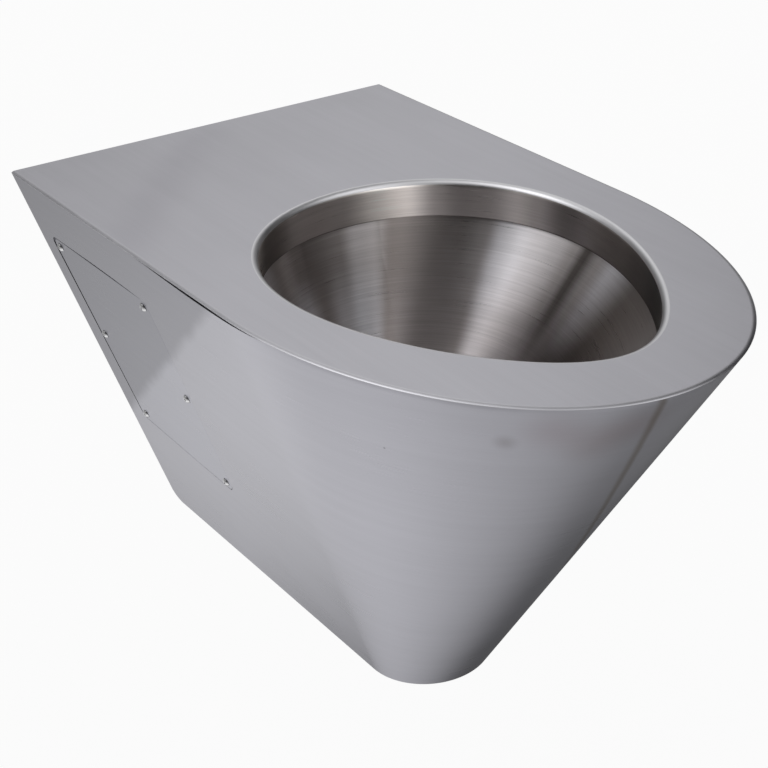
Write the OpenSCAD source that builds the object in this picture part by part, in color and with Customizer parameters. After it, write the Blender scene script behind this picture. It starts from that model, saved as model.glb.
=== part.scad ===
// Wall-hung toilet in welded stainless sheet.
// Origin: midway between the two wall fixing holes, on the wall.
// +X is the user's left when seated, -Y points into the room, +Z is up.

/* [Casing] */
// Width of the deck across its straight sides
deck_w = 360; // [345:1:380]
// Depth of the deck from the wall to the tip of its nose
deck_d = 555; // [545:1:590]
// Length of the straight sides, from the wall to where the nose begins
straight_d = 307; // [295:1:320]
// Height of the casing from its base to the top of the deck
casing_h = 352; // [348:1:375]
// Width of the base across its straight sides
base_w = 108; // [104:1:126]
// Depth of the base from the wall to the tip of its nose
base_d = 356; // [340:1:380]
// Length of the base's nose
base_nose = 49; // [40:1:60]
// Thickness of the stainless sheet
sheet = 1.5; // [1.2:0.1:1.8]
// Height of the deck's turned-down edge
skirt_h = 5; // [4.5:0.5:8]
// Outside radius of the bend along the deck's edge
edge_r = 2.5; // [2:0.1:3.5]
// Seam between the deck's edge and the side sheet
seam = 0.4; // [0.3:0.1:1]
// Outside radius of the bend at the bottom of the back
heel_r = 12; // [8:1:16]
// Height of the base's fold up the wall
upstand_h = 24; // [20:1:32]

/* [Opening] */
// Width of the opening halfway along its length
opening_w = 256; // [244:1:264]
// Length of the opening
opening_l = 311; // [300:1:318]
// Distance from the wall to the opening
opening_y = 189; // [186:1:196]
// How much fuller the opening is towards the wall, as a share of its width
full_share = 0.19; // [0.12:0.01:0.22]
// How much the ends of the opening are drawn in, as a share of its width
drawn_share = 0.06; // [0:0.01:0.08]
// Radius of the rolled edge
roll_r = 6; // [4:0.5:7]
// Depth of the collar below the top of the deck
collar_h = 28; // [24:1:34]
// Width of the flushing slit behind the collar's lower edge
slit = 1.2; // [0.8:0.1:2]

/* [Bowl and trap] */
// Distance from the wall to the middle of the throat
throat_y = 270; // [266:1:276]
// Outside radius of the trap pipe
pipe_r = 40; // [37:0.5:40.5]
// Drop from the top of the deck to the foot of the bowl
bowl_h = 230; // [222:1:234]
// Length of the straight pipe under the bowl
leg_h = 26; // [20:1:28]
// Bend radius of the lower bend
low_bend_r = 50; // [46:1:51]
// Bend radius of the upper bend
top_bend_r = 60; // [50:1:64]
// Length of the cone that widens the trap to the outlet
reducer_l = 30; // [20:1:40]

/* [Wall side] */
// Height of the deck above the fixings
deck_z = 80; // [76:1:84]
// Distance between the two fixing holes
fixing_pitch = 180; // [160:5:200]
// Radius of a fixing hole
fixing_r = 7; // [6:0.5:8]
// Height of the flush inlet above the fixings
inlet_z = 35; // [30:1:38]
// Inside radius of the flush inlet socket
inlet_r = 27.5; // [25:0.5:28]
// Depth of the flush inlet socket
socket_l = 45; // [35:1:60]
// Drop from the fixings to the middle of the outlet
outlet_drop = 100; // [96:1:104]
// Outside radius of the outlet spigot
outlet_r = 51; // [49:0.5:53]
// Length of the outlet spigot behind the back plate
spigot_l = 40; // [20:1:60]
// How much smaller the radius of the pipe inside the pan is than the spigot's
spigot_step = 1; // [0.6:0.1:1.1]
// Thickness of the fixing plate and the back plate
back_t = 2; // [1.5:0.1:3]
// Drop from the fixings to the joint between those plates
plate_joint = 30; // [26:1:38]

/* [Access panels] */
// Distance from the wall to the panel's rear edge, at its top
panel_rear = 24; // [22:1:27]
// How much further forward the rear edge is at its foot
panel_rear_lean = 6; // [0:1:8]
// Distance from the wall to the panel's front edge
panel_front = 171; // [160:1:176]
// Drop from the top of the deck to the panel, down the side
panel_top = 54; // [48:1:60]
// Drop from the top of the deck to the panel's foot at the rear, down the side
panel_foot = 251; // [235:1:255]
// How much lower the panel's foot is at the front
panel_foot_drop = 6; // [0:1:8]
// Radius of the panel's corners
panel_corner_r = 9; // [6:1:12]
// Thickness of the panel
panel_t = 1.2; // [1:0.1:1.4]
// Gap round the panel
panel_gap = 1.3; // [0.8:0.1:2]
// Extra gap along the panel's rear edge
panel_rear_gap = 1.7; // [0:0.1:3]
// Rows of screws down each edge of the panel
screw_rows = 3; // [2:1:4]
// Distance from the panel's edge to the middle of a screw
screw_inset = 8; // [7:0.5:10]
// Radius of the screw's shank
screw_r = 2; // [1.5:0.1:2.2]
// Radius of the screw's head
head_r = 3.8; // [3:0.1:4.5]
// Height of the screw's domed head
head_h = 2.2; // [1.6:0.1:3]
// Length of the screw under its head
screw_l = 12; // [9:1:14]
// Gap between a screw's head and the panel
head_gap = 0.1; // [0.05:0.05:0.3]

/* [Inner parts] */
// Width of the backing band outside the panel's edge
band = 12; // [10:1:14]
// Width of the backing band inside the panel's edge
band_in = 16; // [14:1:20]
// Thickness of the backing band
band_t = 2.5; // [2:0.1:3]
// Length of a blind nut behind the band
nut_l = 7; // [5:0.5:9]
// Wall of a blind nut's barrel
nut_wall = 1.8; // [1.2:0.1:2]
// Width of the slot through the bowl that feeds the rim
slot_w = 72; // [50:1:90]
// Height of that slot
slot_h = 14; // [8:1:15]
// Width of the flushing box behind the bowl
box_w = 120; // [100:1:130]
// Distance from the wall to the flushing box
box_y = 150; // [140:1:155]
// Drop from the deck to the floor of the flushing box
box_h = 78; // [76:1:82]
// Outside radius of the flush pipe
flush_r = 25; // [22:0.5:26]
// Thickness of a wall bracket
bracket_t = 4; // [3:0.5:5]
// Width of a wall bracket on the back plate
bracket_w = 56; // [50:1:60]
// Height of a wall bracket
bracket_h = 105; // [80:1:110]
// Width of each leg of a deck rib
rib_w = 24; // [18:1:28]
// Thickness of a deck rib
rib_t = 2; // [1.5:0.1:3]
// Distance from the middle of the deck to a deck rib
rib_x = 112; // [105:1:118]
// Thickness of the damping pads
pad_t = 3; // [2:0.5:4]
// Margin round a damping pad
pad_margin = 12; // [8:1:16]
// Width of the saddle under the trap
saddle_w = 48; // [44:1:56]
// Length of the saddle's foot beyond each upright
saddle_foot = 12; // [8:1:16]
// Height that the saddle rises round the lower bend
saddle_rise = 9; // [6:0.5:12]
// Width of the ring round the outlet pipe
flange_w = 8; // [5:0.5:12]
// Depth of the foot of the plate in the flushing box
foot_w = 12; // [8:1:14]
// Width of the earthing tag
tag_w = 24; // [20:1:28]
// Radius of the earthing screw
earth_r = 3; // [2.5:0.5:4]
// Radius of the earthing screw's head over its corners
earth_head_r = 5.7; // [5.5:0.1:7]
// Length of the earthing screw under its tag
earth_l = 6; // [4:1:10]

/* [Hidden] */

$fn = 96;

// Overrun that carries a cut past the face it opens
over = 1;
// Gap left at a weld between curved or sloping faces
weld = 0.2;
// Radial play of a screw in its nut
thread_play = 0.08;
// Radial play of a screw in the panel
hole_play = 0.3;
// Width of the key socket in a screw's head, as a share of the shank
socket_share = 0.7;

// Steps round the nose, along each side and the rear, round the bowl and round a bend
nose_steps = 36;
side_steps = 14;
rear_steps = 14;
rim_steps = 96;
bend_steps = 4;
corner_steps = 6;

// Slope of the sides, and the angle that they lean in by
side_slope = (deck_w - base_w) / 2 / casing_h;
tilt = atan(side_slope);
base_z = deck_z - casing_h;
under_z = deck_z - sheet;
shell_top_z = deck_z - skirt_h - seam;
slit_z = deck_z - collar_h;
bowl_z = deck_z - bowl_h;
dip_z = bowl_z - leg_h;
outlet_z = -outlet_drop;
pipe_in_r = pipe_r - sheet;
outlet_pipe_r = outlet_r - spigot_step;
flush_in_r = flush_r - sheet;
riser_y = throat_y - 2 * low_bend_r;
crown_y = riser_y - top_bend_r;
tag_z = outlet_z - outlet_r - flange_w - tag_w - pad_margin;
nut_r = screw_r + thread_play + nut_wall;

metal = [0.68, 0.68, 0.71];
metal_dark = [0.52, 0.53, 0.56];
metal_pale = [0.78, 0.78, 0.80];
rubber = [0.12, 0.12, 0.13];

// Point of an ellipse whose outward normal stands at the angle phi
function ellipse_point(a, b, phi) =
    [a * a * cos(phi), b * b * sin(phi)] / norm([a * cos(phi), b * sin(phi)]);

// Point of the casing's skin at the normal phi and the height z, inset by a thickness
function casing_point(phi, z, inset) =
    let (
        top = ellipse_point(deck_w / 2, deck_d - straight_d, phi) - [0, straight_d],
        low = ellipse_point(base_w / 2, base_nose, phi) - [0, base_d - base_nose],
        out = [cos(phi), sin(phi)],
        lean = out * (low - top) / casing_h,
        at = top + (low - top) * (deck_z - z) / casing_h - out * inset * norm([1, lean])
    )
    [at.x, at.y, z];

function casing_half(z, inset) = casing_point(0, z, inset).x;

// Row of points from the wall round the nose and back to the wall
function casing_row(z, inset) = [
    [casing_half(z, inset), 0, z],
    for (i = [0:nose_steps]) casing_point(-180 * i / nose_steps, z, inset),
    [-casing_half(z, inset), 0, z],
];

// Egg outline of the opening: its outward normal and its points moved outwards
function egg_normal(t) =
    let (
        a = opening_w / 2,
        dx = a * cos(t) * (1 + full_share * cos(t) - drawn_share * pow(cos(t), 2))
            - a * sin(t) * (full_share * sin(t) - 2 * drawn_share * cos(t) * sin(t)),
        side = [opening_l / 2 * sin(t), dx]
    )
    side / norm(side);
function egg_point(t, out) =
    let (a = opening_w / 2 * (1 + full_share * cos(t) - drawn_share * pow(cos(t), 2)))
    [a * sin(t), opening_l / 2 * (cos(t) - 1) - opening_y] + egg_normal(t) * out;

// Point of the bowl's inner face at the height z, moved outwards by a thickness
function bowl_point(t, z, out) =
    let (
        n = egg_normal(t),
        rim = egg_point(t, sheet + slit),
        foot = [0, -throat_y] + n * pipe_in_r,
        drop = slit_z - bowl_z,
        lean = n * (foot - rim) / drop,
        at = rim + (foot - rim) * (slit_z - z) / drop + n * out * norm([1, lean])
    )
    [at.x, at.y, z];

// Ring of points right round the deck, clockwise from the rear right corner
function deck_ring(z, inset) =
    let (
        half = casing_half(z, inset),
        run = straight_d - inset
    )
    concat(
        [for (k = [0:side_steps - 1]) [half, -inset - run * k / side_steps, z]],
        [for (i = [0:nose_steps]) casing_point(-180 * i / nose_steps, z, inset)],
        [for (k = [1:side_steps]) [-half, -straight_d + run * k / side_steps, z]],
        [for (k = [1:rear_steps - 1]) [-half + 2 * half * k / rear_steps, -inset, z]]
    );

// Angles round the opening that face the points of that ring
rim_angles = [
    for (p = deck_ring(deck_z, 0))
        atan2(p.x / opening_w, (p.y + opening_y + opening_l / 2) / opening_l),
];

// Section of a bent edge: a leg of the height h and a bend of the radius r
function edge_outer(r, h) = concat(
    [[0, -h]],
    [for (i = [0:bend_steps]) let (a = 90 * i / bend_steps) [r - r * cos(a), r * sin(a) - r]]
);
function edge_inner(r, h) = concat(
    [[sheet, -h]],
    [for (i = [0:bend_steps]) let (a = 90 * i / bend_steps, q = r - sheet) [r - q * cos(a), q * sin(a) - r]]
);
function reversed(list) = [for (i = [len(list) - 1:-1:0]) list[i]];

// Corners of a polygon rounded with arcs of the radius r
function rounded(points, r, steps) = [
    for (i = [0:len(points) - 1])
        let (
            here = points[i],
            back = points[(i + len(points) - 1) % len(points)] - here,
            next = points[(i + 1) % len(points)] - here,
            b = back / norm(back),
            f = next / norm(next),
            half = acos(b * f) / 2,
            centre = here + (b + f) / norm(b + f) * r / sin(half),
            from = b * r / tan(half) + here - centre,
            to = f * r / tan(half) + here - centre,
            start = atan2(from.y, from.x),
            turn = atan2(from.x * to.y - from.y * to.x, from * to)
        )
        for (k = [0:steps])
            let (a = start + turn * k / steps)
            centre + r * [cos(a), sin(a)],
];

// Solid through a list of sections with the same number of points, each one listed
// anticlockwise as seen by someone who walks along the sweep
module sweep(sections, closed) {
    m = len(sections[0]);
    n = len(sections);
    last = closed ? n - 1 : n - 2;
    walls = [
        for (i = [0:last], j = [0:m - 1])
            let (a = i * m + j, b = i * m + (j + 1) % m, c = ((i + 1) % n) * m + (j + 1) % m, d = ((i + 1) % n) * m + j)
            each [[a, b, c], [a, c, d]],
    ];
    ends = closed ? [] : [[for (j = [m - 1:-1:0]) j], [for (j = [0:m - 1]) (n - 1) * m + j]];
    polyhedron([for (s = sections) each s], concat(walls, ends));
}

// Sheet that follows the casing between two heights, from one inset to another
module casing_sheet(z_low, z_top, inset, t) {
    rows = [
        casing_row(z_top, inset),
        casing_row(z_low, inset),
        casing_row(z_low, inset + t),
        casing_row(z_top, inset + t),
    ];
    sweep([for (i = [0:len(rows[0]) - 1]) [for (r = rows) r[i]]], false);
}

// Filled shape of the bowl between two heights
module bowl_core(z_low, z_top, out) {
    rows = [
        [for (k = [0:rim_steps - 1]) bowl_point(360 * k / rim_steps, z_low, out)],
        [for (k = [0:rim_steps - 1]) bowl_point(360 * k / rim_steps, z_top, out)],
    ];
    sweep(rows, false);
}

// Round tube along Y between two distances from the wall
module tube_y(from, to, r_out, r_in) {
    translate([0, -from, 0])
        rotate([90, 0, 0])
            difference() {
                cylinder(r = r_out, h = to - from);
                translate([0, 0, -over])
                    cylinder(r = r_in, h = to - from + 2 * over);
            }
}

// Upright round tube
module tube_z(h, r_out, r_in) {
    difference() {
        cylinder(r = r_out, h = h);
        translate([0, 0, -over])
            cylinder(r = r_in, h = h + 2 * over);
    }
}

// Bent pipe of the turn angle in the plane of its bend
module bend(bend_r, angle, r_out, r_in) {
    rotate_extrude(angle = angle)
        translate([bend_r, 0])
            difference() {
                circle(r = r_out);
                circle(r = r_in);
            }
}

// Places a drawing on the left side: X runs forward from the wall, Y up the side, Z out of it
module on_left_side() {
    translate([-deck_w / 2, 0, deck_z])
        rotate([0, -tilt, 0])
            rotate([90, 0, -90])
                children();
}

// Panel outline on the side, grown by a margin
function panel_corners(grow) = [
    [panel_rear - grow, grow - panel_top],
    [panel_rear + panel_rear_lean - grow, -panel_foot - grow],
    [panel_front + grow, -panel_foot - panel_foot_drop - grow],
    [panel_front + grow, grow - panel_top],
];
module panel_outline(grow) {
    polygon(rounded(panel_corners(grow), panel_corner_r + grow, corner_steps));
}
module panel_cutout() {
    corners = panel_corners(panel_gap);
    shift = [panel_rear_gap, 0];
    polygon(rounded(
        [corners[0] - shift, corners[1] - shift, corners[2], corners[3]],
        panel_corner_r + panel_gap, corner_steps));
}

// Middles of the screws: two columns inset from the panel's rear and front edges
screw_spots = [
    for (k = [0:screw_rows - 1])
        let (share = k / (screw_rows - 1))
        each [
            let (v0 = panel_top + screw_inset, v1 = panel_foot - screw_inset)
            [panel_rear + panel_rear_lean * share + screw_inset, -v0 - (v1 - v0) * share],
            let (v0 = panel_top + screw_inset, v1 = panel_foot + panel_foot_drop - screw_inset)
            [panel_front - screw_inset, -v0 - (v1 - v0) * share],
        ]
];

module at_screws() {
    for (spot = screw_spots)
        translate([spot.x, spot.y, 0])
            children();
}

module deck() {
    edge_top = [for (p = reversed(edge_outer(edge_r, skirt_h))) deck_ring(deck_z + p.y, p.x)];
    edge_under = [for (p = edge_inner(edge_r, skirt_h)) deck_ring(deck_z + p.y, p.x)];
    lip = concat(reversed(edge_inner(roll_r, collar_h)), edge_outer(roll_r, collar_h));
    color(metal)
        sweep([
            for (i = [0:len(rim_angles) - 1])
                concat(
                    [for (ring = edge_top) ring[i]],
                    [for (ring = edge_under) ring[i]],
                    [for (p = lip) let (at = egg_point(rim_angles[i], p.x)) [at.x, at.y, deck_z + p.y]]
                ),
        ], true);
}

module bowl() {
    slot_z = slit_z + roll_r;
    reach = slot_h + sheet + over;
    color(metal)
        difference() {
            sweep([
                for (k = [0:rim_steps - 1])
                    let (t = 360 * k / rim_steps)
                    [
                        bowl_point(t, bowl_z, 0),
                        bowl_point(t, under_z, 0),
                        bowl_point(t, under_z, sheet),
                        bowl_point(t, bowl_z, sheet),
                    ],
            ], true);
            translate([-slot_w / 2, -opening_y - roll_r, slot_z])
                cube([slot_w, reach, slot_h]);
        }
}

// Cut that rounds the lower rear corner, seen from the side
module heel_cut() {
    wide = deck_w + 2 * over;
    translate([-wide / 2, -heel_r, base_z])
        difference() {
            translate([0, 0, -over])
                cube([wide, heel_r + over, heel_r + over]);
            translate([-over, 0, heel_r])
                rotate([0, 90, 0])
                    cylinder(r = heel_r, h = wide + 2 * over);
        }
}

module body_shell() {
    color(metal)
        difference() {
            casing_sheet(base_z, shell_top_z, 0, sheet);
            for (flip = [0, 1])
                mirror([flip, 0, 0])
                    on_left_side()
                        translate([0, 0, -sheet - over])
                            linear_extrude(sheet + 2 * over)
                                panel_cutout();
            heel_cut();
        }
}

// Base, folded up at the wall into a short upstand that meets the back plate
module base_sheet() {
    inset = sheet + weld;
    path = concat(
        [for (i = [0:2 * bend_steps]) let (a = 90 * i / (2 * bend_steps))
            [heel_r - heel_r * sin(a), heel_r - heel_r * cos(a), sin(a), cos(a)]],
        [[0, upstand_h, 1, 0]]
    );
    plate = [
        for (p = casing_row(base_z, inset)) [p.x, min(p.y, -heel_r)],
    ];
    color(metal_dark)
        union() {
            translate([0, 0, base_z])
                linear_extrude(sheet)
                    polygon(plate);
            sweep([
                for (p = path)
                    let (
                        y = -p[0],
                        z = base_z + p[1],
                        yi = y - sheet * p[2],
                        zi = z + sheet * p[3]
                    )
                    [
                        [-casing_half(z, inset), y, z],
                        [casing_half(z, inset), y, z],
                        [casing_half(zi, inset), yi, zi],
                        [-casing_half(zi, inset), yi, zi],
                    ],
            ], false);
        }
}

// Plate across the back between two heights
module plate(low, top) {
    inset = sheet + weld;
    rotate([90, 0, 0])
        linear_extrude(back_t)
            polygon([
                [-casing_half(low, inset), low],
                [casing_half(low, inset), low],
                [casing_half(top, inset), top],
                [-casing_half(top, inset), top],
            ]);
}

// Hole through a plate on the wall
module plate_hole(x, z, r) {
    translate([x, over, z])
        rotate([90, 0, 0])
            cylinder(r = r, h = back_t + 2 * over);
}

module fixing_plate() {
    color(metal_dark)
        difference() {
            plate(-plate_joint, shell_top_z);
            for (side = [-1, 1])
                plate_hole(side * fixing_pitch / 2, 0, fixing_r);
            plate_hole(0, inlet_z, inlet_r + sheet + weld);
        }
}

module back_plate() {
    color(metal_dark)
        difference() {
            plate(base_z + upstand_h, -plate_joint);
            plate_hole(0, outlet_z, outlet_r + weld);
        }
}

// Angle behind both plates that spreads the load of one fixing
module wall_bracket() {
    inner_x = (fixing_pitch - bracket_w) / 2;
    low = -bracket_h / 2;
    color(metal_dark)
        difference() {
            union() {
                translate([inner_x, -back_t - bracket_t, low])
                    cube([bracket_w, bracket_t, bracket_h]);
                translate([inner_x, -back_t - rib_w - bracket_t, low])
                    cube([bracket_t, rib_w + bracket_t, bracket_h]);
            }
            translate([fixing_pitch / 2, over - back_t, 0])
                rotate([90, 0, 0])
                    cylinder(r = fixing_r, h = bracket_t + 2 * over);
        }
}
module wall_bracket_right() {
    wall_bracket();
}
module wall_bracket_left() {
    mirror([1, 0, 0])
        wall_bracket();
}

// Angle under the deck beside the opening, clear of the bend along the wall
module deck_rib() {
    start = max(back_t, sheet) + edge_r;
    length = opening_y - start - pad_margin;
    color(metal_dark)
        union() {
            translate([rib_x, -start - length, under_z - rib_w])
                cube([rib_t, length, rib_w]);
            translate([rib_x, -start - length, under_z - rib_t])
                cube([rib_w, length, rib_t]);
        }
}
module deck_rib_right() {
    deck_rib();
}
module deck_rib_left() {
    mirror([1, 0, 0])
        deck_rib();
}

module inlet_socket() {
    color(metal_pale)
        translate([0, 0, inlet_z])
            union() {
                tube_y(0, socket_l, inlet_r + sheet, inlet_r);
                tube_y(socket_l, socket_l + sheet, inlet_r + sheet, flush_in_r);
            }
}

module flush_pipe() {
    color(metal_pale)
        translate([0, 0, inlet_z])
            tube_y(socket_l + sheet, box_y, flush_r, flush_in_r);
}

// Box behind the bowl that feeds the flushing rim through a slot in the bowl
module flush_box() {
    floor_z = deck_z - box_h;
    reach = opening_y + roll_r - box_y;
    color(metal_dark)
        difference() {
            translate([-box_w / 2, -box_y - reach, floor_z])
                cube([box_w, reach, under_z - floor_z]);
            translate([-box_w / 2 + sheet, -box_y - reach - over, floor_z + sheet])
                cube([box_w - 2 * sheet, reach - sheet + over, under_z - floor_z]);
            translate([0, over - box_y, inlet_z])
                rotate([90, 0, 0])
                    cylinder(r = flush_in_r, h = sheet + 2 * over);
            bowl_core(bowl_z, deck_z, sheet + weld);
        }
}

// Upright plate in the flushing box that turns the water to both sides
module flush_deflector() {
    floor_z = deck_z - box_h + sheet;
    color(metal_dark)
        translate([-flush_r, -box_y - sheet - foot_w, floor_z])
            union() {
                cube([2 * flush_r, foot_w, sheet]);
                cube([2 * flush_r, sheet, inlet_z - floor_z + flush_r]);
            }
}

module trap_inlet_leg() {
    color(metal_pale)
        translate([0, -throat_y, dip_z])
            tube_z(leg_h, pipe_r, pipe_in_r);
}

module trap_lower_bend() {
    color(metal)
        translate([0, low_bend_r - throat_y, dip_z])
            rotate([90, 0, 90])
                rotate([0, 0, 180])
                    bend(low_bend_r, 180, pipe_r, pipe_in_r);
}

module trap_riser() {
    color(metal_pale)
        translate([0, -riser_y, dip_z])
            tube_z(outlet_z - top_bend_r - dip_z, pipe_r, pipe_in_r);
}

module trap_upper_bend() {
    color(metal)
        translate([0, -crown_y, outlet_z - top_bend_r])
            rotate([90, 0, 90])
                rotate([0, 0, 90])
                    bend(top_bend_r, 90, pipe_r, pipe_in_r);
}

// Folded stand on the base whose two uprights carry the lower bend
module trap_saddle() {
    floor_z = base_z + sheet;
    top_z = dip_z - low_bend_r - pipe_r + saddle_rise;
    color(metal_dark)
        difference() {
            translate([-saddle_w / 2, low_bend_r - throat_y - saddle_w / 2, floor_z])
                union() {
                    translate([0, -saddle_foot, 0])
                        cube([saddle_w, saddle_w + 2 * saddle_foot, sheet]);
                    cube([saddle_w, sheet, top_z - floor_z]);
                    translate([0, saddle_w - sheet, 0])
                        cube([saddle_w, sheet, top_z - floor_z]);
                }
            translate([0, low_bend_r - throat_y, dip_z])
                rotate([90, 0, 90])
                    rotate([0, 0, 180])
                        rotate_extrude(angle = 180)
                            translate([low_bend_r, 0])
                                circle(r = pipe_r + weld);
        }
}

module outlet_reducer() {
    color(metal_pale)
        translate([0, -crown_y, outlet_z])
            rotate([-90, 0, 0])
                rotate_extrude()
                    polygon([
                        [pipe_in_r, 0],
                        [pipe_r, 0],
                        [outlet_pipe_r, reducer_l],
                        [outlet_pipe_r - sheet, reducer_l],
                    ]);
}

module outlet_pipe() {
    color(metal)
        translate([0, 0, outlet_z])
            tube_y(0, crown_y - reducer_l, outlet_pipe_r, outlet_pipe_r - sheet);
}

// Ring that stiffens the back plate round the outlet pipe
module outlet_flange() {
    color(metal_dark)
        translate([0, 0, outlet_z])
            tube_y(back_t, back_t + bracket_t, outlet_r + flange_w, outlet_pipe_r + weld);
}

module outlet_spigot() {
    color(metal_pale)
        translate([0, 0, outlet_z])
            tube_y(-spigot_l, 0, outlet_r, outlet_r - sheet);
}

// Band behind the cut-out that carries the panel and its nuts
module panel_frame() {
    color(metal_dark)
        on_left_side()
            translate([0, 0, -sheet - band_t])
                difference() {
                    linear_extrude(band_t)
                        difference() {
                            panel_outline(band);
                            panel_outline(-band_in);
                        }
                    at_screws()
                        translate([0, 0, -over])
                            cylinder(r = nut_r + thread_play, h = band_t + 2 * over);
                }
}
module panel_frame_left() {
    panel_frame();
}
module panel_frame_right() {
    mirror([1, 0, 0])
        panel_frame();
}

module access_panel() {
    color(metal)
        on_left_side()
            translate([0, 0, -panel_t])
                difference() {
                    linear_extrude(panel_t)
                        panel_outline(0);
                    at_screws()
                        translate([0, 0, -over])
                            cylinder(r = screw_r + hole_play, h = panel_t + 2 * over);
                }
}
module access_panel_left() {
    access_panel();
}
module access_panel_right() {
    mirror([1, 0, 0])
        access_panel();
}

// Blind nuts set in the band, flush with its outer face
module panel_nuts() {
    color(metal_pale)
        on_left_side()
            at_screws()
                translate([0, 0, -sheet - band_t - nut_l])
                    difference() {
                        union() {
                            cylinder(r = nut_r, h = nut_l + band_t);
                            translate([0, 0, nut_l - sheet])
                                cylinder(r = nut_r + sheet, h = sheet);
                        }
                        translate([0, 0, -over])
                            cylinder(r = screw_r + thread_play, h = nut_l + band_t + 2 * over);
                    }
}
module panel_nuts_left() {
    panel_nuts();
}
module panel_nuts_right() {
    mirror([1, 0, 0])
        panel_nuts();
}

// Button-head screws with a hexagon socket
module panel_screws() {
    dome_r = (head_r * head_r + head_h * head_h) / (2 * head_h);
    color(metal_pale)
        on_left_side()
            at_screws()
                difference() {
                    union() {
                        translate([0, 0, -screw_l])
                            cylinder(r = screw_r, h = screw_l + head_gap + head_h / 2);
                        translate([0, 0, head_gap])
                            intersection() {
                                translate([0, 0, head_h - dome_r])
                                    sphere(r = dome_r);
                                cylinder(r = head_r, h = head_h);
                            }
                    }
                    translate([0, 0, head_h / 2])
                        cylinder(r = screw_r * socket_share, h = head_h, $fn = 6);
                }
}
module panel_screws_left() {
    panel_screws();
}
module panel_screws_right() {
    mirror([1, 0, 0])
        panel_screws();
}

// Damping pad stuck under the deck behind the opening
module deck_pad() {
    wide = 2 * (rib_x - pad_margin);
    deep = box_y - back_t - 2 * pad_margin;
    color(rubber)
        translate([-wide / 2, -back_t - pad_margin - deep, under_z - pad_t])
            cube([wide, deep, pad_t]);
}

// Damping pad stuck to the inside of the side sheet in front of the panel
module side_pad() {
    near = panel_front + band + pad_margin;
    far = min(straight_d, base_d - base_nose) - pad_margin;
    color(rubber)
        on_left_side()
            translate([near, -panel_foot, -sheet - pad_t])
                cube([far - near, panel_foot - panel_top, pad_t]);
}
module side_pad_left() {
    side_pad();
}
module side_pad_right() {
    mirror([1, 0, 0])
        side_pad();
}

// Angle tag on the back plate for the earthing wire
module earth_tag() {
    color(metal_pale)
        difference() {
            union() {
                translate([-tag_w / 2, -back_t - rib_t, tag_z])
                    cube([tag_w, rib_t, tag_w]);
                translate([-tag_w / 2, -back_t - tag_w, tag_z])
                    cube([tag_w, tag_w, rib_t]);
            }
            translate([0, -back_t - tag_w / 2 - rib_t / 2, tag_z - over])
                cylinder(r = earth_r + hole_play, h = rib_t + 2 * over);
        }
}
module earth_screw() {
    color(metal_pale)
        translate([0, -back_t - tag_w / 2 - rib_t / 2, tag_z + rib_t])
            union() {
                cylinder(r = earth_head_r, h = earth_r, $fn = 6);
                translate([0, 0, -rib_t - earth_l])
                    cylinder(r = earth_r, h = rib_t + earth_l + sheet);
            }
}

deck();
bowl();
body_shell();
base_sheet();
fixing_plate();
back_plate();
wall_bracket_left();
wall_bracket_right();
deck_rib_left();
deck_rib_right();
inlet_socket();
flush_pipe();
flush_box();
flush_deflector();
trap_inlet_leg();
trap_lower_bend();
trap_riser();
trap_upper_bend();
trap_saddle();
outlet_reducer();
outlet_pipe();
outlet_flange();
outlet_spigot();
panel_frame_left();
panel_frame_right();
access_panel_left();
access_panel_right();
panel_nuts_left();
panel_nuts_right();
panel_screws_left();
panel_screws_right();
deck_pad();
side_pad_left();
side_pad_right();
earth_tag();
earth_screw();
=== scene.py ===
import math

import bmesh
import bpy
from mathutils import Matrix, Vector, kdtree


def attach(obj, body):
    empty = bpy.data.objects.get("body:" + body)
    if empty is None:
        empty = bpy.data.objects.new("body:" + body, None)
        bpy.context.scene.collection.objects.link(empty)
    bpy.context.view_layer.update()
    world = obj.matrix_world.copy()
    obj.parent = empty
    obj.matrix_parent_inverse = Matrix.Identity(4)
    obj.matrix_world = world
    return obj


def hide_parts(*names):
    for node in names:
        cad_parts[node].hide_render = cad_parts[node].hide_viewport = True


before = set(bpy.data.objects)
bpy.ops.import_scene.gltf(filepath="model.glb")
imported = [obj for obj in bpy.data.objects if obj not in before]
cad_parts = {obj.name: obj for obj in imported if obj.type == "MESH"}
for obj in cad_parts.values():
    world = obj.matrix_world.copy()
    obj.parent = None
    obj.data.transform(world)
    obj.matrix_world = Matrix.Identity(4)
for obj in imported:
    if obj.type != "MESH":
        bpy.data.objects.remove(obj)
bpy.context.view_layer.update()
scene = bpy.context.scene
print("frame loaded:", len(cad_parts), "nodes")

# Main sizes of the pan in metres. The origin lies on the wall, between the two fixings.
pan = {
    "deckWidth": 0.360,
    "deckDepth": 0.555,
    "sideLength": 0.307,      # straight part of each side, from the wall
    "deckTop": 0.080,
    "casingHeight": 0.352,
    "baseWidth": 0.108,
    "baseDepth": 0.356,
    "baseNose": 0.049,
    "sheet": 0.0015,
    "heelRadius": 0.012,
}
opening = {
    "width": 0.2542,
    "length": 0.3107,
    "fromWall": 0.1864,
    "fullShare": 0.208,       # fuller towards the wall
    "drawnShare": 0.054,
    "rollRadius": 0.005,
    "collarHeight": 0.0292,
    "slit": 0.0012,
    "throatFromWall": 0.270,
    "throatRadius": 0.0385,
    "bowlDrop": 0.230,
}
baseZ = pan["deckTop"] - pan["casingHeight"]
slitZ = pan["deckTop"] - opening["collarHeight"]
bowlZ = pan["deckTop"] - opening["bowlDrop"]
sideSlope = (pan["deckWidth"] - pan["baseWidth"]) / 2 / pan["casingHeight"]
sideTilt = math.atan(sideSlope)


# Point of an ellipse where its outward normal stands at the angle turn
def ellipsePoint(a, b, turn):
    c, s = math.cos(turn), math.sin(turn)
    return Vector((a * a * c, b * b * s)) / math.hypot(a * c, b * s)


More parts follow.
